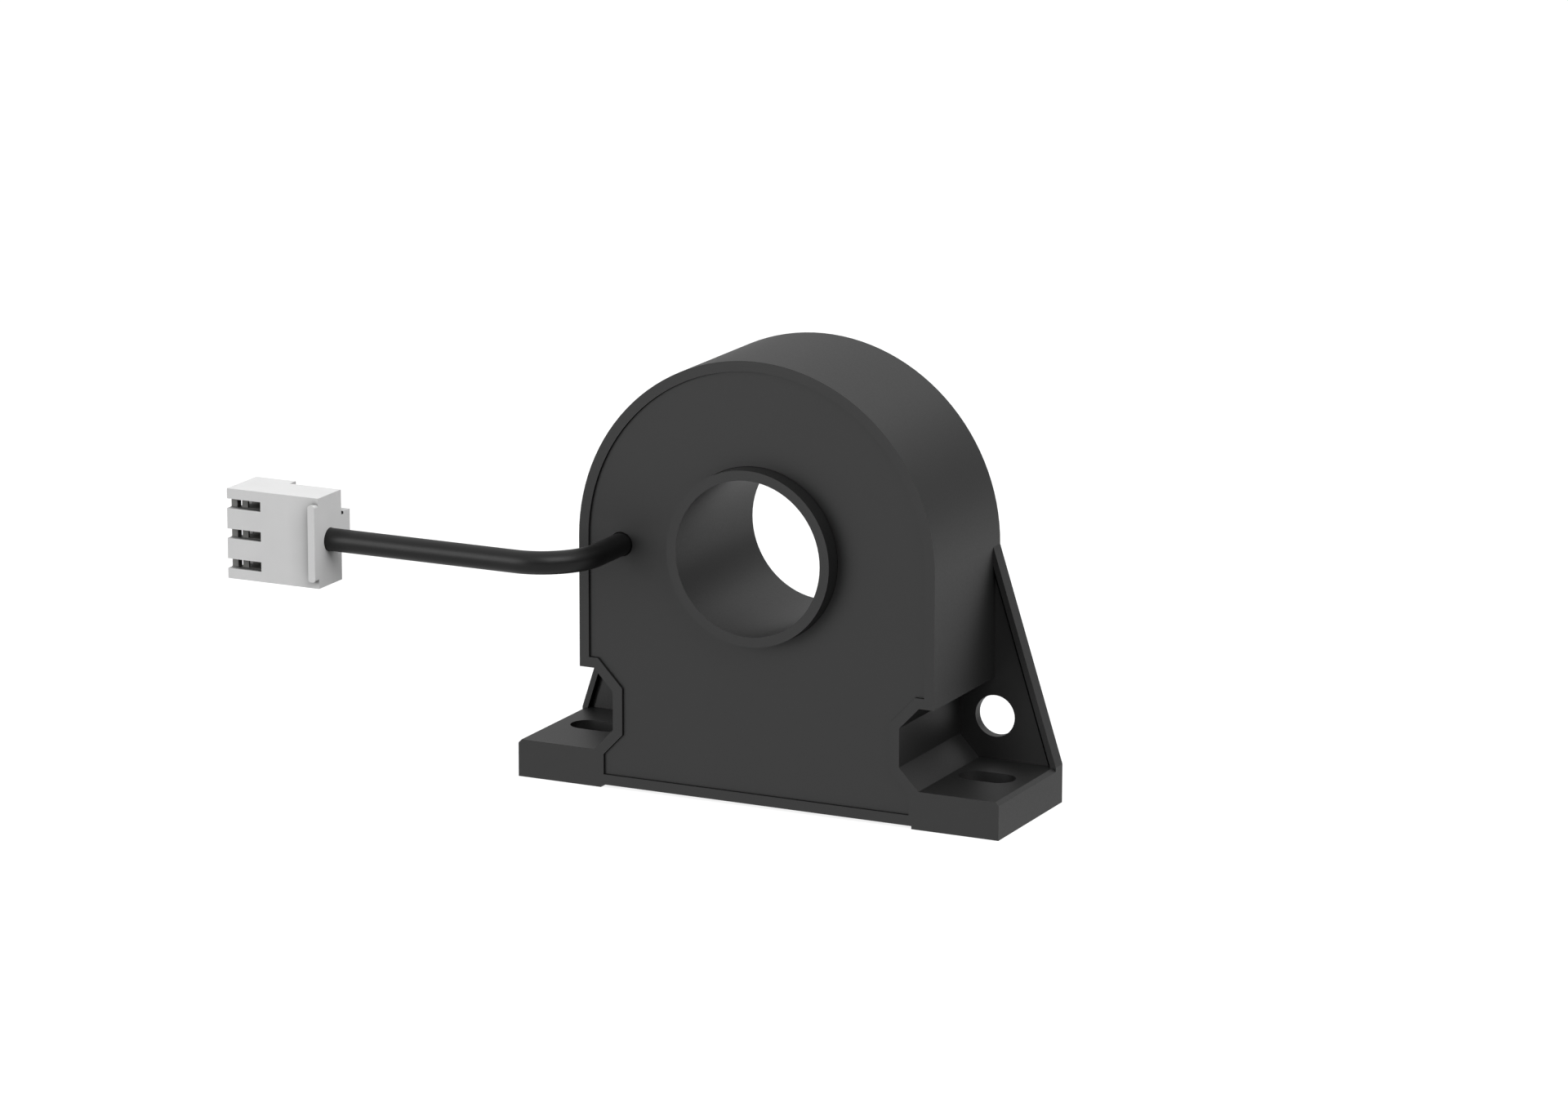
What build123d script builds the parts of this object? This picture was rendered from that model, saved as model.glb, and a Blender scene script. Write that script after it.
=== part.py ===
from build123d import *
import math
import os

# Closed-loop Hall current sensor, in millimetres.
# +X runs along the feet, +Y from the front cover to the rear wall, +Z up from the mounting plane.
# The origin lies on the mounting plane, midway between the two foot slots.

# Housing shell
body_width = 50.2
depth = 20.0
slot_setback = 10.35
side_height = 17.33
shelf_lip = 2.05
notch_run = 2.72
notch_rise = 2.85
base_step = 0.4
rim_wall = 1.35
ledge_width = 0.8
rear_wall = 1.5
bore_radius = 10.15
bore_wall = 1.3
collar_proud = 2.15

# Feet
foot_height = 5.0
foot_length = 11.1
foot_chamfer = 0.48
pad_lap = 0.95
slot_offset = 4.87
slot_width = 4.4
slot_length = 7.6

# Gusset plates and their edge ribs
gusset_thickness = 1.4
gusset_lip = 0.1
rib_depth = 2.15
rib_width = 0.8
gusset_hole_radius = 2.75
gusset_hole_offset = 2.2
gusset_hole_lift = 5.72
groove_width = 0.6
groove_depth = 0.35

# Front cover
cover_recess = 0.34
cover_thickness = 1.5
cover_gap = 0.05

# Core, its case and the winding
ring_gap = 0.35
winding_thickness = 1.1
winding_round = 0.7
winding_open_angle = 32.0
lead_out_inset = 0.8
lead_out_radius = 0.3
case_wall = 0.8
core_gap = 0.1
fit_gap = 0.05

# Hall element
hall_thickness = 1.55
hall_width = 4.0
hall_height = 3.0
hall_side_gap = 0.15
hall_lead_size = 0.4
hall_lead_pitch = 1.0
hall_lead_count = 4

# Circuit board
board_thickness = 1.6
board_standoff = 1.2
board_gap = 0.3
component_bay = 5.2
rail_width = 1.2
rail_inset = 2.0
lead_tail = 0.7
hole_gap = 0.1

# Parts on the board
part_edge_gap = 0.6
part_wall_gap = 0.4
part_gap = 0.6
part_standoff = 0.1
package_bevel = 0.25
pin_thickness = 0.2
amp_length = 4.9
amp_width = 3.9
amp_height = 1.5
amp_pin_pitch = 1.27
amp_pin_width = 0.4
amp_pin_reach = 1.0
amp_pins_per_side = 4
driver_length = 6.5
driver_width = 3.5
driver_height = 1.6
driver_pin_pitch = 2.3
driver_pin_width = 0.7
driver_pin_reach = 1.0
driver_tab_width = 3.0
driver_tab_reach = 1.0
capacitor_radius = 2.0
capacitor_height = 5.0
capacitor_round = 0.25
capacitor_groove = 0.25
capacitor_groove_lift = 0.6
capacitor_base = 4.3
capacitor_base_height = 0.5
diode_length = 3.5
diode_radius = 0.7
diode_glass_radius = 0.63
diode_cap_length = 0.6
chip_length = 2.0
chip_width = 1.25
chip_cap_length = 0.4
chip_cap_relief = 0.05
chip_pitch = 2.6
resistor_height = 0.5
resistor_count = 4
ceramic_height = 1.0
ceramic_count = 3

# Lead: a round jacket over three insulated cores
ways = 3
cable_diameter = 3.0
cable_gap = 0.1
cable_inset = 5.9
cable_drop = 0.6
cable_turn_start = 9.5
cable_turn_step = 4.5
cable_bend_share = 0.45
cable_reach = 34.6
jacket_tail = 0.5
core_diameter = 0.95
conductor_diameter = 0.5
tie_wall = 0.9
tie_length = 1.8
tie_head_width = 2.6
tie_head_height = 1.8

# Cores between the jacket's inner end and the board
core_turn_run = 1.4
core_turn_step = 1.0
core_bend = 1.0
core_sweep = 6.0
core_shoulder_drop = 12.0
core_knee_drop = 20.0
core_hole_offset = 3.7
core_hole_pitch = 2.0

# Connector at the lead's far end
way_pitch = 3.96
plug_thickness = 5.9
mating_length = 5.93
mating_proud = 1.55
plug_front_wall = 0.95
plug_rear_wall = 1.0
plug_end_wall = 0.95
cable_end_wall = 2.0
chamber_width = 2.9
chamber_end_gap = 0.4
fan_length = 4.25
window_height = 2.05
window_round = 0.45
plug_slot_width = 1.27
plug_slot_length = 4.96
plug_core_straight = 0.6
plug_core_bend = 0.8
grip_width = 1.0
grip_proud = 1.0
grip_height = 10.05
grip_lift = 0.12
grip_round = 0.35
lever_height = 5.5
lever_lift = 0.22
lever_length = 5.0
lever_thickness = 1.65
lever_overhang = 1.7
lever_web_height = 4.8
lever_web_depth = 0.55

# Receptacle contacts
contact_setback = 0.5
contact_length = 3.6
contact_side_gap = 0.3
contact_face_gap = 0.4
contact_wall = 0.35
contact_round = 0.5
contact_lip = 0.87
mouth_bar_length = 0.87
mouth_bar_depth = 1.0
mouth_bar_height = 1.6
mouth_end_gap = 0.05
mouth_face_gap = 0.1
mouth_rail_depth = 0.5
mouth_rail_height = 0.3
barrel_length = 1.8
barrel_radius = 0.8

# Derived planes and radii of the housing
half_width = body_width / 2
y_front = -slot_setback
y_rear = y_front + depth
wall = rim_wall + ledge_width
floor_z = base_step + wall
notch_x = half_width - shelf_lip - notch_run
root_x = notch_x + notch_run
foot_x = root_x + foot_length
pad_x = root_x - pad_lap
slot_x = root_x + slot_offset
collar_radius = bore_radius + bore_wall
cover_front = y_front + cover_recess
cover_back = cover_front + cover_thickness
chamber_back = y_rear - rear_wall

# Derived places of the lead's inner end
cable_x = cable_inset - half_width
core_radius = core_diameter / 2
core_circle = (core_radius + fit_gap / 10) / math.sin(math.pi / ways)
tie_front = cover_back + fit_gap
jacket_end_y = tie_front + tie_length + jacket_tail

# Derived sizes of the core stack
winding_outer = half_width - wall - ring_gap
winding_inner = collar_radius + ring_gap
winding_front = jacket_end_y + core_turn_run + core_turn_step + core_radius + ring_gap
winding_back = chamber_back - ring_gap
case_outer = winding_outer - winding_thickness - fit_gap
case_inner = winding_inner + winding_thickness + fit_gap
case_front = winding_front + winding_thickness + fit_gap
case_back = winding_back - winding_thickness - fit_gap
core_outer = case_outer - case_wall - core_gap
core_inner = case_inner + case_wall + core_gap
core_front = case_front + case_wall + core_gap
core_back = case_back - case_wall - core_gap
ring_middle = (core_front + core_back) / 2
lead_out_x = winding_outer * math.sin(math.radians(winding_open_angle / 2)) + lead_out_inset

# Derived heights, from the board bay up to the bore
board_bottom = floor_z + board_standoff
board_top = board_bottom + board_thickness
bore_height = board_top + component_bay + winding_outer
shelf_height = bore_height - side_height
slope_foot = foot_height + gusset_lip
gusset_slope = (foot_x - half_width) / (bore_height - slope_foot)
bore_axis = Axis((0, 0, bore_height), (0, 1, 0))

# Derived limits for the parts on the board
board_front = cover_back + board_gap
board_back = chamber_back - board_gap
bay_edge = notch_x - wall - part_wall_gap

# Derived places of the lead and the connector
cable_z = bore_height - cable_drop
cable_run_y = y_front - cable_turn_start - cable_turn_step
chamber_length = contact_setback + contact_length + barrel_length + chamber_end_gap
plug_length = plug_end_wall + chamber_length + fan_length + cable_end_wall
plug_height = ways * way_pitch
plug_end_x = cable_x - cable_reach
plug_mate_x = plug_end_x - plug_length
plug_front_y = cable_run_y - plug_thickness / 2
plug_rear_y = plug_front_y + plug_thickness
room_front = plug_front_y + plug_front_wall
room_back = plug_rear_y - plug_rear_wall
jacket_end_x = plug_end_x - cable_end_wall
contact_x = plug_mate_x + plug_end_wall + contact_setback
contact_y = (room_front + room_back) / 2
contact_depth = room_back - room_front - 2 * contact_face_gap
contact_height = chamber_width - 2 * contact_side_gap
barrel_x = contact_x + contact_length
barrel_end_x = barrel_x + barrel_length
way_heights = [cable_z + way_pitch * ((ways - 1) / 2 - k) for k in range(ways)]


def prism(profile, y_from, y_to):
    """Solid of a profile drawn in X and Z, between two depths."""
    back = Plane(origin=(0, y_to, 0), x_dir=(1, 0, 0), z_dir=(0, -1, 0))
    return extrude(back * profile, amount=y_to - y_from)


def block(x_from, x_to, y_from, y_to, z_from, z_to):
    """Rectangular solid between stated limits."""
    centre = ((x_from + x_to) / 2, (y_from + y_to) / 2, (z_from + z_to) / 2)
    return Pos(*centre) * Box(x_to - x_from, y_to - y_from, z_to - z_from)


def bar_along_y(x, z, radius, y_from, y_to):
    """Round bar along the depth."""
    return prism(Pos(x, z) * Circle(radius), y_from, y_to)


def bar_along_z(x, y, radius, z_from, z_to):
    """Round upright bar."""
    return extrude(Pos(x, y, z_from) * Circle(radius), amount=z_to - z_from)


def bar_along_x(y, z, radius, x_from, x_to):
    """Round bar along the feet's direction."""
    side = Plane(origin=(x_from, y, z), x_dir=(0, 1, 0), z_dir=(1, 0, 0))
    return extrude(side * Circle(radius), amount=x_to - x_from)


def tube_on(points, radii, radius):
    """Round wire along straight runs joined by tangent arcs."""
    path = FilletPolyline(*points, radius=radii)
    start = Plane(origin=path @ 0, z_dir=path % 0)
    return path, sweep(start * Circle(radius), path=path)


def pot_profile(inset=0.0):
    """Outline of the pot in X and Z: arch, straight sides and notched block, drawn in by inset."""
    right = [
        (root_x, base_step),
        (root_x, foot_height),
        (notch_x, foot_height + notch_rise),
        (notch_x, shelf_height - notch_rise),
        (root_x, shelf_height),
        (half_width, shelf_height),
        (half_width, bore_height),
    ]
    left = [(-x, z) for x, z in reversed(right)]
    walls = Polyline(*left, *right)
    arch = ThreePointArc(right[-1], (0, bore_height + half_width), left[0])
    profile = make_face(walls + arch)
    if inset:
        profile = offset(profile, amount=-inset, kind=Kind.INTERSECTION)
    return profile


def foot_profile():
    """Right foot in X and Z, with the chamfer along its outer top edge."""
    return make_face(
        Polyline(
            (pad_x, 0),
            (foot_x, 0),
            (foot_x, foot_height - foot_chamfer),
            (foot_x - foot_chamfer, foot_height),
            (pad_x, foot_height),
            close=True,
        )
    )


def gusset_profile():
    """Right gusset in X and Z: a triangle from the foot's edge up to the springing of the arch."""
    return make_face(
        Polyline(
            (notch_x - wall / 2, foot_height / 2),
            (foot_x, foot_height / 2),
            (foot_x, slope_foot),
            (half_width, bore_height),
            (half_width - wall / 2, bore_height),
            (half_width - wall / 2, shelf_height + wall / 2),
            (notch_x - wall / 2, shelf_height - notch_rise),
            close=True,
        )
    )


def rib_profile():
    """Band along the gusset's sloping edge, down to the foot."""
    root = foot_height - foot_chamfer
    top = bore_height - rib_width / gusset_slope
    return make_face(
        Polyline(
            (foot_x, root),
            (foot_x, slope_foot),
            (half_width, bore_height),
            (half_width - wall / 2, bore_height),
            (half_width - wall / 2, top),
            (half_width, top),
            (foot_x - rib_width, slope_foot),
            (foot_x - rib_width, root),
            close=True,
        )
    )


def groove_profile():
    """Narrow band of the gusset plate beside the rib's inner side."""
    inner = rib_width + groove_width
    return make_face(
        Polyline(
            (foot_x - rib_width, foot_height),
            (foot_x - rib_width, slope_foot),
            (half_width, bore_height - rib_width / gusset_slope),
            (half_width, bore_height - inner / gusset_slope),
            (foot_x - inner, slope_foot),
            (foot_x - inner, foot_height),
            close=True,
        )
    )


def cavity_half_width(z):
    """Half width of the space inside the notched block at a height near its foot."""
    slant = math.hypot(notch_run, notch_rise)
    sloped = root_x - (z - foot_height) * notch_run / notch_rise - wall * slant / notch_rise
    return max(notch_x - wall, min(root_x - wall, sloped))


def board_edge():
    """Half width of the board."""
    return cavity_half_width(board_top) - board_gap


def housing():
    """One moulding: pot, bore tube with proud collar, slotted feet, gussets and board rails."""
    shell = prism(pot_profile(), y_front, y_rear)
    foot = prism(foot_profile(), y_front, y_rear)
    slot = Pos(slot_x, 0, 0) * extrude(SlotOverall(slot_length, slot_width), amount=foot_height)
    plate = prism(gusset_profile(), y_rear - gusset_thickness, y_rear)
    rib = prism(rib_profile(), y_rear - rib_depth, y_rear)
    hole_x = root_x + gusset_hole_offset
    hole_z = foot_height + gusset_hole_lift
    plate_front = y_rear - gusset_thickness
    hole = bar_along_y(hole_x, hole_z, gusset_hole_radius, plate_front, y_rear)
    groove = prism(groove_profile(), plate_front, plate_front + groove_depth)
    side = foot - slot + plate + rib - hole - groove
    shell += side + mirror(side, about=Plane.YZ)
    shell -= prism(pot_profile(rim_wall), y_front, cover_back)
    shell -= prism(pot_profile(wall), cover_back, chamber_back)
    shell += bar_along_y(0, bore_height, collar_radius, y_front - collar_proud, y_rear)
    shell -= bar_along_y(0, bore_height, bore_radius, y_front - collar_proud, y_rear)
    rail_x = board_edge() - rail_inset
    for side_sign in (-1, 1):
        middle = side_sign * rail_x
        low, high = middle - rail_width / 2, middle + rail_width / 2
        shell += block(low, high, cover_back, y_rear - rear_wall / 2, floor_z - wall / 2, board_bottom)
    return shell


def front_cover():
    """Plate seated on the ledge inside the rim, with the collar hole and the cable hole."""
    plate = prism(pot_profile(rim_wall + cover_gap), cover_front, cover_back)
    plate -= bar_along_y(0, bore_height, collar_radius + cover_gap, cover_front, cover_back)
    plate -= bar_along_y(cable_x, cable_z, cable_diameter / 2 + cable_gap, cover_front, cover_back)
    return plate


def ring(inner, outer, y_from, y_to):
    """Round ring about the bore axis."""
    profile = Pos(0, bore_height) * (Circle(outer) - Circle(inner))
    return prism(profile, y_from, y_to)


def magnetic_core():
    """Ring core with one air gap at the bottom for the Hall element."""
    gap = hall_thickness / 2 + hall_side_gap
    core = ring(core_inner, core_outer, core_front, core_back)
    return core - block(-gap, gap, core_front, core_back, bore_height - core_outer, bore_height)


def core_case(y_closed, y_open):
    """Insulating channel over half the core, slotted at the bottom for the Hall element."""
    y_from, y_to = sorted((y_closed, y_open))
    shell = ring(case_inner, case_outer, y_from, y_to)
    inside = sorted((y_closed + math.copysign(case_wall, y_open - y_closed), y_open))
    shell -= ring(case_inner + case_wall, case_outer - case_wall, *inside)
    slot_half = hall_thickness / 2 + hall_side_gap
    slot_y = hall_width / 2 + hall_side_gap
    low, high = bore_height - case_outer, bore_height - core_outer
    return shell - block(-slot_half, slot_half, ring_middle - slot_y, ring_middle + slot_y, low, high)


def compensation_winding():
    """Copper winding round the cased core, open at the Hall element, with its two ends led down."""
    middle_r = (winding_inner + winding_outer) / 2
    width, height = winding_outer - winding_inner, winding_back - winding_front
    outer = RectangleRounded(width, height, winding_round)
    inner = Rectangle(width - 2 * winding_thickness, height - 2 * winding_thickness)
    section = Pos(middle_r, (winding_front + winding_back) / 2, bore_height) * (outer - inner)
    coil = revolve(section, bore_axis, revolution_arc=360 - winding_open_angle)
    coil = coil.rotate(bore_axis, 90 + winding_open_angle / 2)
    top = bore_height - math.sqrt(winding_outer**2 - lead_out_x**2) + winding_thickness / 2
    for x in (-lead_out_x, lead_out_x):
        coil += bar_along_z(x, ring_middle, lead_out_radius, board_bottom - lead_tail, top)
    return coil


def hall_lead_places():
    """Depths of the Hall element's leads."""
    first = ring_middle - hall_lead_pitch * (hall_lead_count - 1) / 2
    return [first + k * hall_lead_pitch for k in range(hall_lead_count)]


def hall_element():
    """Flat package standing in the core's air gap, with its leads down to the board."""
    middle = bore_height - (core_inner + core_outer) / 2
    low, high = middle - hall_height / 2, middle + hall_height / 2
    half_y, half_x = hall_width / 2, hall_thickness / 2
    package = block(-half_x, half_x, ring_middle - half_y, ring_middle + half_y, low, high)
    package = chamfer(package.edges().group_by(Axis.Z)[-1], package_bevel)
    half = hall_lead_size / 2
    for y in hall_lead_places():
        package += block(-half, half, y - half, y + half, board_bottom - lead_tail, low)
    return package


def circuit_board():
    """Board on the housing's rails, drilled for the Hall leads, the winding ends and the lead's cores."""
    board = block(-board_edge(), board_edge(), board_front, board_back, board_bottom, board_top)
    holes = [(0, y, hall_lead_size * math.sqrt(0.5) + hole_gap) for y in hall_lead_places()]
    holes += [(x, ring_middle, lead_out_radius + hole_gap) for x in (-lead_out_x, lead_out_x)]
    holes += [(*board_core_end(k), conductor_diameter / 2 + hole_gap) for k in range(ways)]
    for x, y, radius in holes:
        board -= bar_along_z(x, y, radius, board_bottom, board_top)
    return board


def op_amp():
    """Amplifier package with bent leads on both sides, at the middle of the board's front."""
    y = board_front + part_edge_gap + amp_pin_reach + amp_width / 2
    z = board_top + part_standoff
    half_x, half_y = amp_length / 2, amp_width / 2
    body = block(-half_x, half_x, y - half_y, y + half_y, z, z + amp_height)
    body = chamfer(body.edges().group_by(Axis.Z)[-1], package_bevel)
    foot_top = board_top + pin_thickness
    shoulder = z + amp_height / 2
    for k in range(amp_pins_per_side):
        x = amp_pin_pitch * (k - (amp_pins_per_side - 1) / 2)
        low, high = x - amp_pin_width / 2, x + amp_pin_width / 2
        for out in (-1, 1):
            root = y + out * (half_y - pin_thickness)
            knee = y + out * (half_y + amp_pin_reach / 2)
            toe = y + out * (half_y + amp_pin_reach)
            inner_knee = knee - out * pin_thickness
            body += block(low, high, *sorted((root, knee)), shoulder - pin_thickness, shoulder)
            body += block(low, high, *sorted((inner_knee, knee)), board_top, shoulder)
            body += block(low, high, *sorted((inner_knee, toe)), board_top, foot_top)
    return body


def driver_x():
    """Distance of each output transistor from the middle."""
    return bay_edge - driver_length / 2


def driver_transistor(side_sign):
    """Output transistor: moulded body with a wide tab behind and three leads in front."""
    x = side_sign * driver_x()
    y = board_back - part_edge_gap - driver_tab_reach - driver_width / 2
    z = board_top + part_standoff
    half_x, half_y = driver_length / 2, driver_width / 2
    body = block(x - half_x, x + half_x, y - half_y, y + half_y, z, z + driver_height)
    body = chamfer(body.edges().group_by(Axis.Z)[-1], package_bevel)
    foot_top = board_top + 2 * pin_thickness
    tab_half, pin_half = driver_tab_width / 2, driver_pin_width / 2
    body += block(x - tab_half, x + tab_half, y, y + half_y + driver_tab_reach, board_top, foot_top)
    for k in (-1, 0, 1):
        low, high = x + k * driver_pin_pitch - pin_half, x + k * driver_pin_pitch + pin_half
        body += block(low, high, y - half_y - driver_pin_reach, y, board_top, foot_top)
    return body


def supply_capacitor(position):
    """Can capacitor on its square base, with the crimp groove round the can."""
    half = capacitor_base / 2
    x = bay_edge - half - position * (capacitor_base + part_gap)
    y, z = board_front + part_edge_gap + half, board_top
    base = block(x - half, x + half, y - half, y + half, z, z + capacitor_base_height)
    can = bar_along_z(x, y, capacitor_radius, z + capacitor_base_height, z + capacitor_height)
    can = fillet(can.edges().group_by(Axis.Z)[-1], capacitor_round)
    groove_z = z + capacitor_base_height + capacitor_groove_lift
    groove = Pos(x, y, groove_z) * Torus(capacitor_radius + capacitor_groove / 2, capacitor_groove)
    return base + can - groove


def protection_diode(side_sign):
    """Round glass diode with metal end caps, lying along the feet's direction."""
    half = diode_length / 2
    x = side_sign * (driver_x() - driver_length / 2 - part_gap - half)
    y, z = (board_front + board_back) / 2, board_top + diode_radius
    low, high = x - half + diode_cap_length, x + half - diode_cap_length
    diode = bar_along_x(y, z, diode_glass_radius, low, high)
    diode += bar_along_x(y, z, diode_radius, x - half, low)
    return diode + bar_along_x(y, z, diode_radius, high, x + half)


def chip(x, y, height):
    """Chip part with raised end caps, lying along the depth."""
    half_x, half_y = chip_width / 2, chip_length / 2
    top = board_top + height
    body = block(x - half_x, x + half_x, y - half_y, y + half_y, board_top, top)
    between = half_y - chip_cap_length
    return body - block(x - half_x, x + half_x, y - between, y + between, top - chip_cap_relief, top)


def chip_resistors():
    """Row of chip resistors along the board's rear edge."""
    y = board_back - part_edge_gap - chip_length / 2
    first = -chip_pitch * (resistor_count - 1) / 2
    return [chip(first + k * chip_pitch, y, resistor_height) for k in range(resistor_count)]


def chip_capacitors():
    """Row of taller ceramic chips beside the amplifier."""
    first = -(amp_length / 2 + part_gap + chip_width / 2)
    y = board_front + part_edge_gap + chip_length / 2
    return [chip(first - k * chip_pitch, y, ceramic_height) for k in range(ceramic_count)]


def cable_route():
    """Points of the lead's axis: straight out of the cover, round a close bend, straight to the plug."""
    return [
        (cable_x, jacket_end_y, cable_z),
        (cable_x, y_front - cable_turn_start, cable_z),
        (cable_x - cable_turn_step, cable_run_y, cable_z),
        (jacket_end_x, cable_run_y, cable_z),
    ]


def route_radii(points):
    """Arc radius at each corner, from the share of its two runs given to the bend."""
    radii = []
    for before, at, after in zip(points, points[1:], points[2:]):
        run_in, run_out = Vector(*at) - Vector(*before), Vector(*after) - Vector(*at)
        half_turn = math.radians(run_in.get_angle(run_out)) / 2
        radii.append(cable_bend_share * min(run_in.length, run_out.length) / math.tan(half_turn))
    return radii


def cable_jacket():
    """Round jacket of the lead."""
    points = cable_route()
    radii = route_radii(points)
    path, jacket = tube_on(points, radii, cable_diameter / 2)
    section = math.pi * cable_diameter**2 / 4
    print("cable arcs", [round(r, 2) for r in radii], "length", round(path.length, 2))
    print("cable volume over section times length", round(jacket.volume / (section * path.length), 5))
    return jacket


def cable_tie():
    """Band and head pulled tight round the jacket behind the cover, as strain relief."""
    y_to = tie_front + tie_length
    radius = cable_diameter / 2 + fit_gap
    low, high = cable_x - tie_head_width / 2, cable_x + tie_head_width / 2
    band = bar_along_y(cable_x, cable_z, radius + tie_wall, tie_front, y_to)
    band += block(low, high, tie_front, y_to, cable_z, cable_z + radius + tie_head_height)
    return band - bar_along_y(cable_x, cable_z, radius, tie_front, y_to)


def core_places(first_angle):
    """Places of the cores inside the jacket, from its axis, evenly round it."""
    angles = [math.radians(first_angle + 360 * k / ways) for k in range(ways)]
    return [(core_circle * math.cos(a), core_circle * math.sin(a)) for a in angles]


def board_core_end(index):
    """Where a core goes down to the board; neighbours are staggered in depth."""
    x = cable_x + core_hole_offset + index * core_hole_pitch
    return x, jacket_end_y + core_turn_run + index % 2 * core_turn_step


def board_core(index):
    """Insulated core from the jacket's inner end down to the board, with its bare end through it."""
    dx, dz = sorted(core_places(90))[index]
    x, y = board_core_end(index)
    x_start, z_start = cable_x + dx, cable_z + dz
    points = [
        (x_start, jacket_end_y, z_start),
        (x_start, y, z_start),
        (x_start, y, cable_z - core_shoulder_drop),
        (x, y, cable_z - core_knee_drop),
        (x, y, board_top),
    ]
    wire = tube_on(points, [core_bend, core_sweep, core_sweep], core_radius)[1]
    return wire + bar_along_z(x, y, conductor_diameter / 2, board_bottom - lead_tail, board_top)


def plug_core(index):
    """Insulated core from the jacket's end to its contact, with its bare end in the barrel."""
    dy, dz = sorted(core_places(60), key=lambda place: -place[1])[index]
    target = way_heights[index]
    points = [
        (jacket_end_x, cable_run_y + dy, cable_z + dz),
        (jacket_end_x - plug_core_straight, cable_run_y + dy, cable_z + dz),
        (barrel_end_x + plug_core_straight, contact_y, target),
        (barrel_end_x, contact_y, target),
    ]
    wire = tube_on(points, [plug_core_bend, plug_core_bend], core_radius)[1]
    return wire + bar_along_x(contact_y, target, conductor_diameter / 2, barrel_x, barrel_end_x)


def contact(index):
    """Receptacle: box section with a rounded mouth and an open window, then a crimped barrel."""
    z = way_heights[index]
    outer = RectangleRounded(contact_depth, contact_height, contact_round)
    inner_depth, inner_height = contact_depth - 2 * contact_wall, contact_height - 2 * contact_wall
    inner = RectangleRounded(inner_depth, inner_height, contact_round - contact_wall / 2)
    mouth = Plane(origin=(contact_x, contact_y, z), x_dir=(0, 1, 0), z_dir=(1, 0, 0))
    floor = Plane(origin=(barrel_x - contact_wall, contact_y, z), x_dir=(0, 1, 0), z_dir=(1, 0, 0))
    body = extrude(mouth * (outer - inner), amount=contact_length)
    window_half = contact_height / 2 - contact_round
    low, high = z - window_half, z + window_half
    x_from, x_to = contact_x + contact_lip, barrel_x - contact_wall
    body -= block(x_from, x_to, contact_y - contact_depth, contact_y, low, high)
    body += extrude(floor * outer, amount=contact_wall)
    body += mouth_bar(z)
    body += bar_along_x(contact_y, z, barrel_radius, barrel_x, barrel_end_x)
    return body - bar_along_x(contact_y, z, conductor_diameter / 2 + fit_gap / 2, barrel_x, barrel_end_x)


def mouth_bar(z):
    """Cross bar standing in the pin window, on two rails from the contact's mouth."""
    x_from = plug_mate_x + mouth_end_gap
    x_to = x_from + mouth_bar_length
    y_from = room_front + mouth_face_gap
    y_to = y_from + mouth_bar_depth
    half = mouth_bar_height / 2
    bar = block(x_from, x_to, y_from, y_to, z - half, z + half)
    for side_sign in (-1, 1):
        middle = z + side_sign * (contact_height / 2 - contact_wall)
        low, high = middle - mouth_rail_height / 2, middle + mouth_rail_height / 2
        rail_x = contact_x + contact_wall
        bar += block(x_to - contact_wall, rail_x, y_to - mouth_rail_depth, y_to, low, high)
    return bar


def connector_housing():
    """One moulding: chambers with slots and pin windows, grip rib and locking lever."""
    low, high = cable_z - plug_height / 2, cable_z + plug_height / 2
    mating_rear_y = plug_rear_y + mating_proud
    body = block(plug_mate_x, plug_end_x, plug_front_y, plug_rear_y, low, high)
    body += block(plug_mate_x, plug_mate_x + mating_length, room_back, mating_rear_y, low, high)
    room_x = plug_mate_x + plug_end_wall
    fan_x = room_x + chamber_length
    half, slot_half = chamber_width / 2, plug_slot_width / 2
    slot_x_to = plug_mate_x + plug_slot_length
    for z in way_heights:
        body -= block(room_x, fan_x, room_front, room_back, z - half, z + half)
        body -= block(plug_mate_x, slot_x_to, plug_front_y, room_front, z - slot_half, z + slot_half)
        body -= pin_window(z)
    fan_low, fan_high = way_heights[-1] - half, way_heights[0] + half
    body -= block(fan_x, jacket_end_x, room_front, room_back, fan_low, fan_high)
    body -= bar_along_x(cable_run_y, cable_z, cable_diameter / 2 + fit_gap, jacket_end_x, plug_end_x)
    return body + grip_rib() + locking_lever()


def pin_window(z):
    """Rounded opening through the mating face for one contact."""
    side = Plane(origin=(plug_mate_x, contact_y, z), x_dir=(0, 1, 0), z_dir=(1, 0, 0))
    outline = RectangleRounded(room_back - room_front, window_height, window_round)
    return extrude(side * outline, amount=plug_end_wall)


def grip_rib():
    """Finger rib across the front face, flush with the cable end."""
    middle = plug_end_x - grip_width / 2
    outline = Pos(middle, cable_z + grip_lift) * RectangleRounded(grip_width, grip_height, grip_round)
    return prism(outline, plug_front_y - grip_proud, plug_front_y + plug_front_wall / 2)


def locking_lever():
    """Press tab of the locking lever, carried off the rear face on a thin web."""
    x_from = plug_end_x - lever_length
    tab_front = plug_rear_y + lever_web_depth
    tab_rear = tab_front + lever_thickness
    middle = cable_z + lever_lift
    low, high = middle - lever_web_height / 2, middle + lever_web_height / 2
    web = block(x_from + lever_overhang, plug_end_x, room_back, tab_front, low, high)
    low, high = middle - lever_height / 2, middle + lever_height / 2
    return web + block(x_from, plug_end_x, tab_front, tab_rear, low, high)


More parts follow.
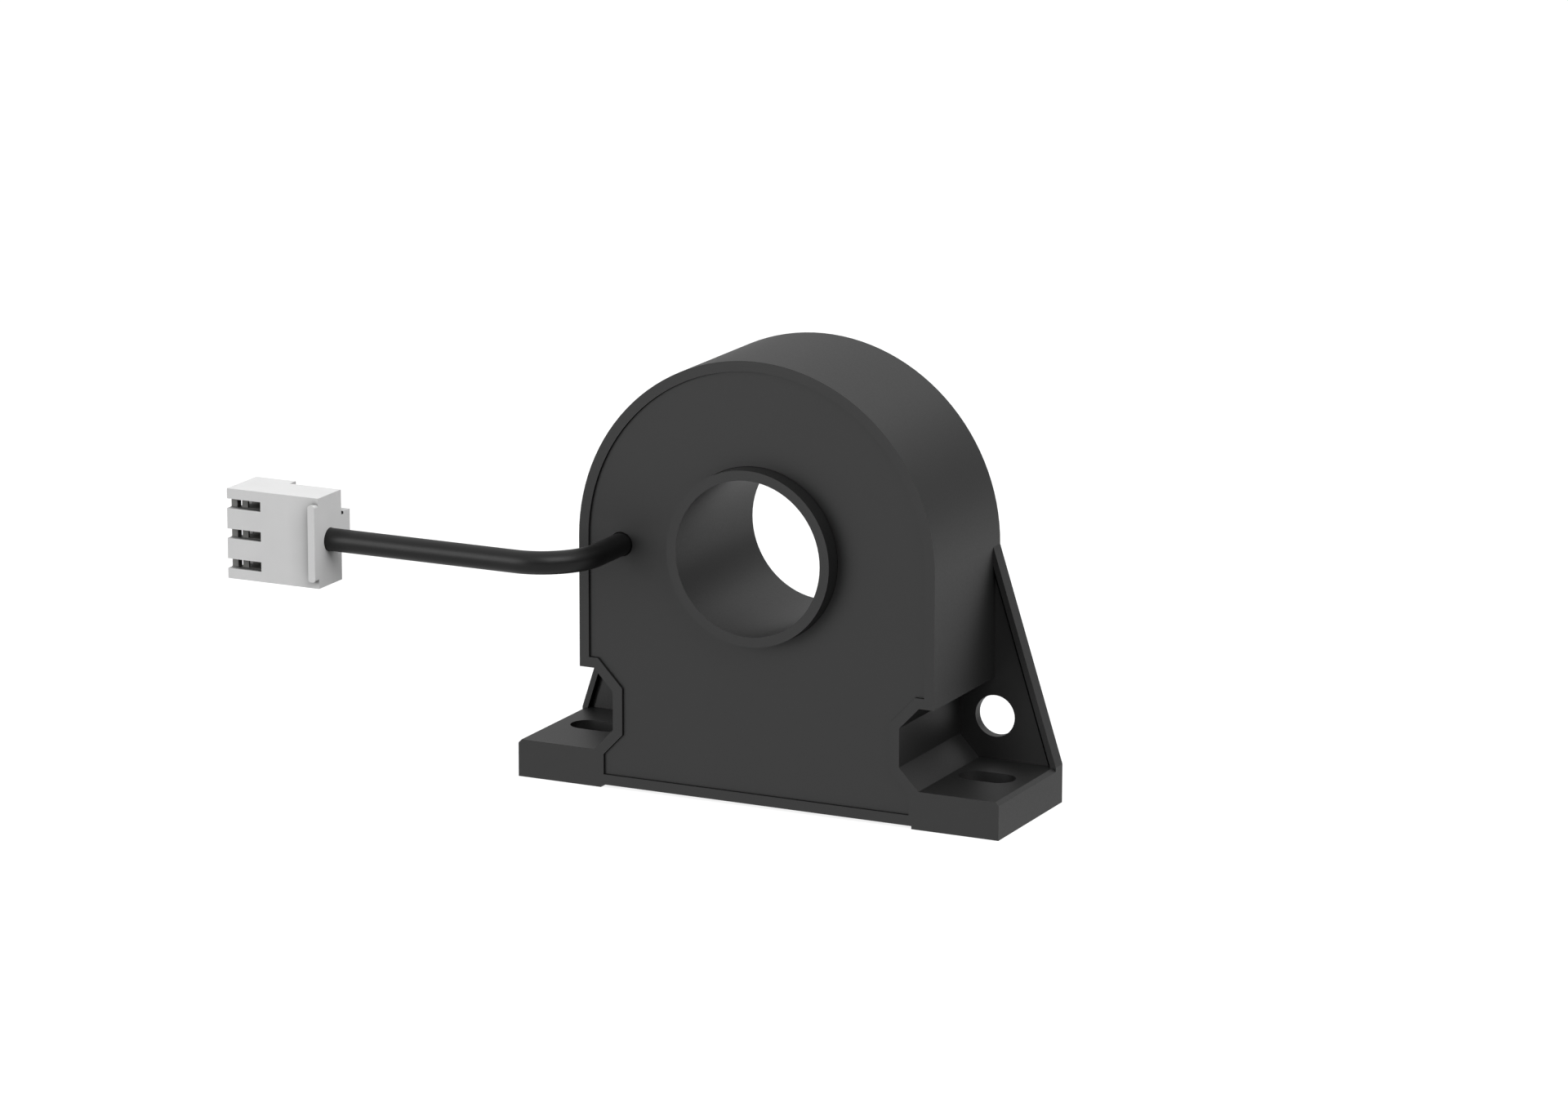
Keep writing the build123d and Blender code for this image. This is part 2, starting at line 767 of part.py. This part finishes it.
nodes = {
    "housing": housing(),
    "front_cover": front_cover(),
    "magnetic_core": magnetic_core(),
    "core_case_front": core_case(case_front, ring_middle),
    "core_case_rear": core_case(case_back, ring_middle),
    "compensation_winding": compensation_winding(),
    "hall_element": hall_element(),
    "circuit_board": circuit_board(),
    "op_amp": op_amp(),
    "chip_resistors": Compound(chip_resistors()),
    "chip_capacitors": Compound(chip_capacitors()),
    "cable_jacket": cable_jacket(),
    "cable_tie": cable_tie(),
    "connector_housing": connector_housing(),
}
for number, sign in ((1, -1), (2, 1)):
    nodes[f"driver_transistor_{number}"] = driver_transistor(sign)
    nodes[f"protection_diode_{number}"] = protection_diode(sign)
    nodes[f"supply_capacitor_{number}"] = supply_capacitor(number - 1)
for number in range(1, ways + 1):
    nodes[f"board_core_{number}"] = board_core(number - 1)
    nodes[f"plug_core_{number}"] = plug_core(number - 1)
    nodes[f"contact_{number}"] = contact(number - 1)

os.makedirs("parts", exist_ok=True)
for name, solid in nodes.items():
    export_step(solid, f"parts/{name}.step")
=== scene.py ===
import math

import bmesh
import bpy
from mathutils import Euler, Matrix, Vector


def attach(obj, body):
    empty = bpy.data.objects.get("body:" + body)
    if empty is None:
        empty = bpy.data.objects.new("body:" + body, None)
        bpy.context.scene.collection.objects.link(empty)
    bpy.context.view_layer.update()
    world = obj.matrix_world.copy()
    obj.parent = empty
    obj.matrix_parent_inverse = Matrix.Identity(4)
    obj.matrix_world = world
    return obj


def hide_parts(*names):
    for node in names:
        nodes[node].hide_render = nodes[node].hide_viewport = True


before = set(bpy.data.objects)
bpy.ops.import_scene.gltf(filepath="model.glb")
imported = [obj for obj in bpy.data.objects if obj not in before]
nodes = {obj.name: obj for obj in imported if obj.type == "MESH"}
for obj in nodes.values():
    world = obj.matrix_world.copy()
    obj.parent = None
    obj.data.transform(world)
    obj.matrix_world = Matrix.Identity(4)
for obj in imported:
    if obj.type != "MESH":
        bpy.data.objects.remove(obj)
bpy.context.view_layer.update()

scene = bpy.context.scene
scene.view_settings.view_transform = "Standard"

# Camera
# A long lens from the right and a little above, as in the photograph: 26 degrees round from
# the front, 13.6 degrees up, with the level tilted by a seventh of a degree.
camera_data = bpy.data.cameras.new("camera")
camera_data.sensor_width = 36
camera_data.lens = 146.45
camera_data.clip_start = 0.01
camera = bpy.data.objects.new("camera", camera_data)
scene.collection.objects.link(camera)
scene.camera = camera
target = Vector((0.00414, -0.01035, 0.033835))
distance = 0.8054
azimuth, elevation, roll = math.radians(25.95), math.radians(13.596), math.radians(0.139)
back = Vector((
    math.sin(azimuth) * math.cos(elevation),
    -math.cos(azimuth) * math.cos(elevation),
    math.sin(elevation),
))
camera.location = target + back * distance
turn = Euler((math.pi / 2 - elevation, 0, azimuth)).to_matrix()
camera.rotation_euler = (turn @ Euler((0, 0, roll)).to_matrix()).to_euler()


# Lead
# A round PVC jacket over three insulated cores. It comes straight out of the cover, goes round
# one close bend and runs straight to the connector; it is short and stiff enough to carry it.
def linear(hex_colour):
    """sRGB hex to linear red, green, blue and alpha."""
    parts = [int(hex_colour[k:k + 2], 16) / 255 for k in (1, 3, 5)]
    return (*[c / 12.92 if c <= 0.04045 else ((c + 0.055) / 1.055) ** 2.4 for c in parts], 1)


def add(material, kind, inputs=None, **fields):
    """Adds a node to a material, sets its fields, and gives each input a value or a link."""
    tree = material.node_tree
    node = tree.nodes.new(kind)
    for name, value in fields.items():
        setattr(node, name, value)
    for name, value in (inputs or {}).items():
        if isinstance(value, bpy.types.NodeSocket):
            tree.links.new(value, node.inputs[name])
        else:
            node.inputs[name].default_value = value
    return node


def new_material(name):
    """An empty node material."""
    material = bpy.data.materials.new(name)
    material.use_nodes = True
    material.node_tree.nodes.clear()
    return material


def dress(piece, material):
    """Gives the piece this material all over."""
    piece.data.materials.clear()
    piece.data.materials.append(material)


# The axis: three points straight out of the cover, the bend, then straight to the connector.
lead_radius = 0.0015
lead_route = [
    (-0.0192, -0.00615, 0.03255),
    (-0.0192, -0.01345, 0.03255),
    (-0.0192, -0.01985, 0.03255),
    (-0.0237, -0.02435, 0.03255),
    (-0.0301, -0.02435, 0.03255),
    (-0.0558, -0.02435, 0.03255),
]
lead_curve = bpy.data.curves.new("lead", "CURVE")
lead_curve.dimensions = "3D"
lead_curve.bevel_depth = 1  # each point's own radius scales it
lead_curve.bevel_resolution = 12
lead_curve.use_fill_caps = True
run = lead_curve.splines.new("NURBS")
run.points.add(len(lead_route) - 1)
for point, place in zip(run.points, lead_route):
    point.co = (*place, 1)
    point.radius = lead_radius
run.order_u = 3
run.use_endpoint_u = True
run.resolution_u = 24
lead = bpy.data.objects.new("lead", lead_curve)
scene.collection.objects.link(lead)
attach(lead, "root")
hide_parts("cable_jacket")
on_lead = ["connector_housing"]
for number in (1, 2, 3):
    on_lead += [f"contact_{number}", f"plug_core_{number}"]

# Extruded PVC: black, smooth and slightly glossy, with a faint waviness from the die that
# softens the long highlight along the run.
pvc = new_material("extruded_black_pvc")
place = add(pvc, "ShaderNodeTexCoord")
ripple = add(pvc, "ShaderNodeTexNoise", {
    "Vector": place.outputs["Object"],
    "Scale": 700,
    "Detail": 3,
})
uneven = add(pvc, "ShaderNodeMapRange", {
    "Value": ripple.outputs["Fac"],
    "To Min": 0.36,
    "To Max": 0.44,
})
bump = add(pvc, "ShaderNodeBump", {
    "Height": ripple.outputs["Fac"],
    "Distance": 0.00002,
    "Strength": 0.3,
})
shade = add(pvc, "ShaderNodeBsdfPrincipled", {
    "Base Color": linear("#0c0c0c"),
    "Roughness": uneven.outputs["Result"],
    "IOR": 1.53,
    "Specular IOR Level": 0.34,
    "Normal": bump.outputs["Normal"],
})
add(pvc, "ShaderNodeOutputMaterial", {"Surface": shade.outputs["BSDF"]})
dress(lead, pvc)

# Case
# The pot with its bore tube, feet and gussets is one moulding in glass-filled PBT, and the
# cover is a plate of the same stuff, let into the pot's rim. Both are near black, and the fine
# grain of a blasted tool gives them the satin sheen that reads as dark grey.
pbt = new_material("moulded_grey_pbt")
place = add(pbt, "ShaderNodeTexCoord")
cloud = add(pbt, "ShaderNodeTexNoise", {
    "Vector": place.outputs["Object"],
    "Scale": 90,
    "Detail": 4,
})
grain = add(pbt, "ShaderNodeTexNoise", {
    "Vector": place.outputs["Object"],
    "Scale": 4000,
    "Detail": 2,
})
tint = add(pbt, "ShaderNodeMix", {
    0: cloud.outputs["Fac"],
    6: linear("#161616"),
    7: linear("#1a1a1a"),
}, data_type="RGBA")
dull = add(pbt, "ShaderNodeMapRange", {
    "Value": grain.outputs["Fac"],
    "To Min": 0.42,
    "To Max": 0.52,
})
bump = add(pbt, "ShaderNodeBump", {
    "Height": grain.outputs["Fac"],
    "Distance": 0.00001,
    "Strength": 0.3,
})
shade = add(pbt, "ShaderNodeBsdfPrincipled", {
    "Base Color": tint.outputs[2],
    "Roughness": dull.outputs["Result"],
    "IOR": 1.54,
    "Normal": bump.outputs["Normal"],
})
add(pbt, "ShaderNodeOutputMaterial", {"Surface": shade.outputs["BSDF"]})
for name in ("housing", "front_cover"):
    dress(nodes[name], pbt)

# Magnetic core
# A ring wound from thin grain-oriented steel strip and cut through once for the sensing gap.
# On its flat ends the turns show as fine circles about the bore, four to a millimetre.
bore_height = 0.03315
strip = new_material("wound_silicon_steel_strip")
place = add(strip, "ShaderNodeTexCoord")
about_bore = add(strip, "ShaderNodeMapping", {
    "Vector": place.outputs["Object"],
    "Location": (0, 0, -bore_height),
}, vector_type="POINT")
turns = add(strip, "ShaderNodeTexWave", {
    "Vector": about_bore.outputs["Vector"],
    "Scale": 1260,
    "Distortion": 0.4,
}, wave_type="RINGS", rings_direction="Y")
tint = add(strip, "ShaderNodeMix", {
    0: turns.outputs["Fac"],
    6: linear("#6f6d6a"),
    7: linear("#97948f"),
}, data_type="RGBA")
shade = add(strip, "ShaderNodeBsdfPrincipled", {
    "Base Color": tint.outputs[2],
    "Metallic": 1.0,
    "Roughness": 0.38,
})
add(strip, "ShaderNodeOutputMaterial", {"Surface": shade.outputs["BSDF"]})
dress(nodes["magnetic_core"], strip)

# Core case
# Two moulded nylon half shells that snap over the ring and keep the wire off the steel's edges.
# Unfilled black nylon has a soft, even sheen.
black_nylon = new_material("moulded_black_nylon")
place = add(black_nylon, "ShaderNodeTexCoord")
grain = add(black_nylon, "ShaderNodeTexNoise", {"Vector": place.outputs["Object"], "Scale": 2500})
dull = add(black_nylon, "ShaderNodeMapRange", {
    "Value": grain.outputs["Fac"],
    "To Min": 0.38,
    "To Max": 0.5,
})
shade = add(black_nylon, "ShaderNodeBsdfPrincipled", {
    "Base Color": linear("#1c1c1e"),
    "Roughness": dull.outputs["Result"],
    "IOR": 1.53,
})
add(black_nylon, "ShaderNodeOutputMaterial", {"Surface": shade.outputs["BSDF"]})
for name in ("core_case_front", "core_case_rear"):
    dress(nodes[name], black_nylon)

# Compensation winding
# Enamelled copper wire wound in close turns round the cased ring. The clear enamel gives the
# copper an amber cast and a gloss of its own.
enamelled = new_material("enamelled_copper_wire")
place = add(enamelled, "ShaderNodeTexCoord")
drift = add(enamelled, "ShaderNodeTexNoise", {
    "Vector": place.outputs["Object"],
    "Scale": 180,
    "Detail": 3,
})
tint = add(enamelled, "ShaderNodeMix", {
    0: drift.outputs["Fac"],
    6: linear("#a8542a"),
    7: linear("#c26f3c"),
}, data_type="RGBA")
shade = add(enamelled, "ShaderNodeBsdfPrincipled", {
    "Base Color": tint.outputs[2],
    "Metallic": 1.0,
    "Roughness": 0.32,
    "Coat Weight": 0.6,
    "Coat Roughness": 0.12,
})
add(enamelled, "ShaderNodeOutputMaterial", {"Surface": shade.outputs["BSDF"]})
dress(nodes["compensation_winding"], enamelled)

# Moulded packages
# The Hall element in the gap, the amplifier and the two driver transistors are epoxy packages,
# transfer moulded in a spark-finished tool: near black, with a fine dull grain.
epoxy = new_material("moulded_black_epoxy")
place = add(epoxy, "ShaderNodeTexCoord")
grain = add(epoxy, "ShaderNodeTexNoise", {
    "Vector": place.outputs["Object"],
    "Scale": 6000,
    "Detail": 2,
})
dull = add(epoxy, "ShaderNodeMapRange", {
    "Value": grain.outputs["Fac"],
    "To Min": 0.5,
    "To Max": 0.7,
})
bump = add(epoxy, "ShaderNodeBump", {
    "Height": grain.outputs["Fac"],
    "Distance": 0.00001,
    "Strength": 0.4,
})
shade = add(epoxy, "ShaderNodeBsdfPrincipled", {
    "Base Color": linear("#1b1b1c"),
    "Roughness": dull.outputs["Result"],
    "IOR": 1.55,
    "Normal": bump.outputs["Normal"],
})
add(epoxy, "ShaderNodeOutputMaterial", {"Surface": shade.outputs["BSDF"]})
for name in ("hall_element", "op_amp", "driver_transistor_1", "driver_transistor_2"):
    dress(nodes[name], epoxy)

# Circuit board
# Glass cloth and epoxy laminate under a green solder resist. The weave shows through the resist
# as a faint checker, two threads to a millimetre.
laminate = new_material("green_resist_on_laminate")
place = add(laminate, "ShaderNodeTexCoord")
threads = add(laminate, "ShaderNodeTexChecker", {
    "Vector": place.outputs["Object"],
    "Color1": linear("#1d5a37"),
    "Color2": linear("#1a5233"),
    "Scale": 2000,
})
shade = add(laminate, "ShaderNodeBsdfPrincipled", {
    "Base Color": threads.outputs["Color"],
    "Roughness": 0.35,
    "IOR": 1.5,
})
add(laminate, "ShaderNodeOutputMaterial", {"Surface": shade.outputs["BSDF"]})
dress(nodes["circuit_board"], laminate)

# Chip parts
# Sintered blocks soldered flat to the board: resistors under black glaze, and capacitors of a
# bare tan dielectric.
glaze = new_material("black_resistor_glaze")
place = add(glaze, "ShaderNodeTexCoord")
speckle = add(glaze, "ShaderNodeTexNoise", {"Vector": place.outputs["Object"], "Scale": 5000})
dull = add(glaze, "ShaderNodeMapRange", {
    "Value": speckle.outputs["Fac"],
    "To Min": 0.22,
    "To Max": 0.34,
})
shade = add(glaze, "ShaderNodeBsdfPrincipled", {
    "Base Color": linear("#171718"),
    "Roughness": dull.outputs["Result"],
    "IOR": 1.52,
})
add(glaze, "ShaderNodeOutputMaterial", {"Surface": shade.outputs["BSDF"]})
dress(nodes["chip_resistors"], glaze)
titanate = new_material("sintered_tan_titanate")
place = add(titanate, "ShaderNodeTexCoord")
speckle = add(titanate, "ShaderNodeTexNoise", {
    "Vector": place.outputs["Object"],
    "Scale": 5000,
    "Detail": 3,
})
tint = add(titanate, "ShaderNodeMix", {
    0: speckle.outputs["Fac"],
    6: linear("#a5835c"),
    7: linear("#bd9a72"),
}, data_type="RGBA")
shade = add(titanate, "ShaderNodeBsdfPrincipled", {
    "Base Color": tint.outputs[2],
    "Roughness": 0.45,
})
add(titanate, "ShaderNodeOutputMaterial", {"Surface": shade.outputs["BSDF"]})
dress(nodes["chip_capacitors"], titanate)

# Protection diodes
# Leadless glass diodes, soldered flat to the board by the caps at their ends. The die's red
# oxide shows through the fused glass sleeve.
sleeve = new_material("fused_diode_glass")
place = add(sleeve, "ShaderNodeTexCoord")
cloud = add(sleeve, "ShaderNodeTexNoise", {"Vector": place.outputs["Object"], "Scale": 900})
tint = add(sleeve, "ShaderNodeMix", {
    0: cloud.outputs["Fac"],
    6: linear("#8e3d24"),
    7: linear("#a8502f"),
}, data_type="RGBA")
shade = add(sleeve, "ShaderNodeBsdfPrincipled", {
    "Base Color": tint.outputs[2],
    "Roughness": 0.12,
    "IOR": 1.52,
})
add(sleeve, "ShaderNodeOutputMaterial", {"Surface": shade.outputs["BSDF"]})
for name in ("protection_diode_1", "protection_diode_2"):
    dress(nodes[name], sleeve)

# Supply capacitors
# Deep-drawn aluminium cans, left bare, crimped shut and soldered upright to the board. Drawing
# leaves fine upright lines on the wall.
can = new_material("drawn_aluminium_can")
place = add(can, "ShaderNodeTexCoord")
drawn = add(can, "ShaderNodeMapping", {
    "Vector": place.outputs["Object"],
    "Scale": (1, 1, 0.03),
}, vector_type="POINT")
lines = add(can, "ShaderNodeTexNoise", {
    "Vector": drawn.outputs["Vector"],
    "Scale": 6000,
    "Detail": 2,
})
dull = add(can, "ShaderNodeMapRange", {
    "Value": lines.outputs["Fac"],
    "To Min": 0.24,
    "To Max": 0.4,
})
shade = add(can, "ShaderNodeBsdfPrincipled", {
    "Base Color": linear("#b9bbbe"),
    "Metallic": 1.0,
    "Roughness": dull.outputs["Result"],
})
add(can, "ShaderNodeOutputMaterial", {"Surface": shade.outputs["BSDF"]})
for name in ("supply_capacitor_1", "supply_capacitor_2"):
    dress(nodes[name], can)

# Insulated cores
# Three stranded cores in extruded PVC, red, black and white. Their ends are stripped, soldered
# through the board at one end and crimped into the contacts at the other.
core_colours = ((1, "red", "#a8231d"), (2, "black", "#171717"), (3, "white", "#e4e4e0"))
for number, colour, hex_colour in core_colours:
    skin = new_material(f"extruded_{colour}_core_pvc")
    place = add(skin, "ShaderNodeTexCoord")
    ripple = add(skin, "ShaderNodeTexNoise", {"Vector": place.outputs["Object"], "Scale": 900})
    dull = add(skin, "ShaderNodeMapRange", {
        "Value": ripple.outputs["Fac"],
        "To Min": 0.32,
        "To Max": 0.42,
    })
    shade = add(skin, "ShaderNodeBsdfPrincipled", {
        "Base Color": linear(hex_colour),
        "Roughness": dull.outputs["Result"],
        "IOR": 1.53,
    })
    add(skin, "ShaderNodeOutputMaterial", {"Surface": shade.outputs["BSDF"]})
    for name in (f"board_core_{number}", f"plug_core_{number}"):
        dress(nodes[name], skin)

# Connector
# A moulded nylon housing for three ways, off-white and a little waxy, with a finger rib at the
# lead's end and a locking lever behind. The tie round the lead is of the same nylon. Its colour
# is greyed by painted shade in hollows and inner corners, over the last 3.5 mm, where light gets
# lost.
nylon = new_material("moulded_natural_nylon")
place = add(nylon, "ShaderNodeTexCoord")
cloud = add(nylon, "ShaderNodeTexNoise", {
    "Vector": place.outputs["Object"],
    "Scale": 300,
    "Detail": 3,
})
tint = add(nylon, "ShaderNodeMix", {
    0: cloud.outputs["Fac"],
    6: linear("#dcdcdc"),
    7: linear("#e4e4e4"),
}, data_type="RGBA")
# Painted shade: ambient occlusion within the piece mixes the base colour towards dark grey #484847.
hollow = add(nylon, "ShaderNodeAmbientOcclusion", {"Distance": 0.0035}, samples=16, only_local=True)
painted_shade_amount = add(nylon, "ShaderNodeMapRange", {"Value": hollow.outputs["AO"], "From Min": 0.4})
painted_shade_colour = add(nylon, "ShaderNodeMix", {
    0: painted_shade_amount.outputs["Result"],
    6: linear("#484847"),
    7: tint.outputs[2],
}, data_type="RGBA")
dull = add(nylon, "ShaderNodeMapRange", {
    "Value": cloud.outputs["Fac"],
    "To Min": 0.42,
    "To Max": 0.52,
})
shade = add(nylon, "ShaderNodeBsdfPrincipled", {
    "Base Color": painted_shade_colour.outputs[2],
    "Roughness": dull.outputs["Result"],
    "IOR": 1.53,
})
add(nylon, "ShaderNodeOutputMaterial", {"Surface": shade.outputs["BSDF"]})
for name in ("connector_housing", "cable_tie"):
    dress(nodes[name], nylon)

# Contacts
# Stamped and folded brass boxes with a matt tin plate, pushed into the connector from the lead's
# end, one in each way. The plate is dull grey and hardly mirrors the slot round it.
tin = new_material("matt_tin_plate")
place = add(tin, "ShaderNodeTexCoord")
crystals = add(tin, "ShaderNodeTexNoise", {
    "Vector": place.outputs["Object"],
    "Scale": 4000,
    "Detail": 3,
})
dull = add(tin, "ShaderNodeMapRange", {
    "Value": crystals.outputs["Fac"],
    "To Min": 0.5,
    "To Max": 0.62,
})
shade = add(tin, "ShaderNodeBsdfPrincipled", {
    "Base Color": linear("#7e7e7c"),
    "Metallic": 0.3,
    "Roughness": dull.outputs["Result"],
})
add(tin, "ShaderNodeOutputMaterial", {"Surface": shade.outputs["BSDF"]})
for number in (1, 2, 3):
    dress(nodes[f"contact_{number}"], tin)

# Floor and light
# A plain white sheet under a pale sky that is brightest overhead, with four broad soft lamps:
# a low one at the front left, a higher one at the right, a weak one behind, and one at the
# right end that leaves no highlight, so it brightens the connector and hardly the dark case.
floor_mesh = bpy.data.meshes.new("floor")
shape = bmesh.new()
bmesh.ops.create_grid(shape, x_segments=1, y_segments=1, size=3)
shape.to_mesh(floor_mesh)
shape.free()
floor = bpy.data.objects.new("floor", floor_mesh)
scene.collection.objects.link(floor)

# The sheet looks white, shows as a pale sheen in glossy faces and throws little light upwards.
paper = new_material("white_paper")
ray = add(paper, "ShaderNodeLightPath")
straight = add(paper, "ShaderNodeMath", {
    0: ray.outputs["Is Camera Ray"],
    1: ray.outputs["Is Transmission Ray"],
}, operation="ADD", use_clamp=True)
matte = add(paper, "ShaderNodeBsdfDiffuse", {"Color": linear("#8c8c8c")})
glow = add(paper, "ShaderNodeEmission", {"Color": (1, 1, 1, 1), "Strength": 0.85})
bright = add(paper, "ShaderNodeAddShader", {0: matte.outputs["BSDF"], 1: glow.outputs["Emission"]})
dim = add(paper, "ShaderNodeBsdfDiffuse", {"Color": linear("#404040")})
sheen = add(paper, "ShaderNodeEmission", {"Color": (1, 1, 1, 1), "Strength": 0.74})
mirrored = add(paper, "ShaderNodeMixShader", {
    0: ray.outputs["Is Glossy Ray"],
    1: dim.outputs["BSDF"],
    2: sheen.outputs["Emission"],
})
seen = add(paper, "ShaderNodeMixShader", {
    0: straight.outputs["Value"],
    1: mirrored.outputs["Shader"],
    2: bright.outputs["Shader"],
})
add(paper, "ShaderNodeOutputMaterial", {"Surface": seen.outputs["Shader"]})
dress(floor, paper)


def lamp(name, place, power, highlight=True):
    """A square soft lamp at this place, aimed at the object's middle."""
    data = bpy.data.lights.new(name, "AREA")
    data.size = 0.9
    data.energy = power
    light = bpy.data.objects.new(name, data)
    light.location = place
    light.rotation_euler = (Vector(place) - target).to_track_quat("Z", "Y").to_euler()
    light.visible_glossy = highlight
    scene.collection.objects.link(light)


lamp("key", (-0.6, -1.0, 0.3), 7.2)
lamp("fill", (0.8, -0.6, 1.0), 7.4)
lamp("rim", (0.5, 0.9, 1.1), 1.5)
lamp("side", (1.15, 0, 0.65), 4.4, highlight=False)

# The camera sees plain white. All else sees a sky that brightens from the horizon upwards, and a
# little more towards the rear and the left.
world = bpy.data.worlds.new("studio")
scene.world = world
world.use_nodes = True
world.node_tree.nodes.clear()
ray = add(world, "ShaderNodeLightPath")
way = add(world, "ShaderNodeTexCoord")
part = add(world, "ShaderNodeSeparateXYZ", {"Vector": way.outputs["Generated"]})
above = add(world, "ShaderNodeMapRange", {"Value": part.outputs["Z"], "To Max": 0.88})
behind = add(world, "ShaderNodeMapRange", {"Value": part.outputs["Y"], "To Max": 0.24})
left = add(world, "ShaderNodeMapRange", {
    "Value": part.outputs["X"],
    "From Max": -1,
    "To Max": 0.25,
})
level = add(world, "ShaderNodeMath", {
    0: above.outputs["Result"],
    1: behind.outputs["Result"],
}, operation="ADD")
level = add(world, "ShaderNodeMath", {
    0: level.outputs["Value"],
    1: left.outputs["Result"],
}, operation="ADD")
sky = add(world, "ShaderNodeBackground", {
    "Color": (1, 1, 1, 1),
    "Strength": level.outputs["Value"],
})
white = add(world, "ShaderNodeBackground", {"Color": (1, 1, 1, 1), "Strength": 1})
seen = add(world, "ShaderNodeMixShader", {
    0: ray.outputs["Is Camera Ray"],
    1: sky.outputs["Background"],
    2: white.outputs["Background"],
})
add(world, "ShaderNodeOutputWorld", {"Surface": seen.outputs["Shader"]})
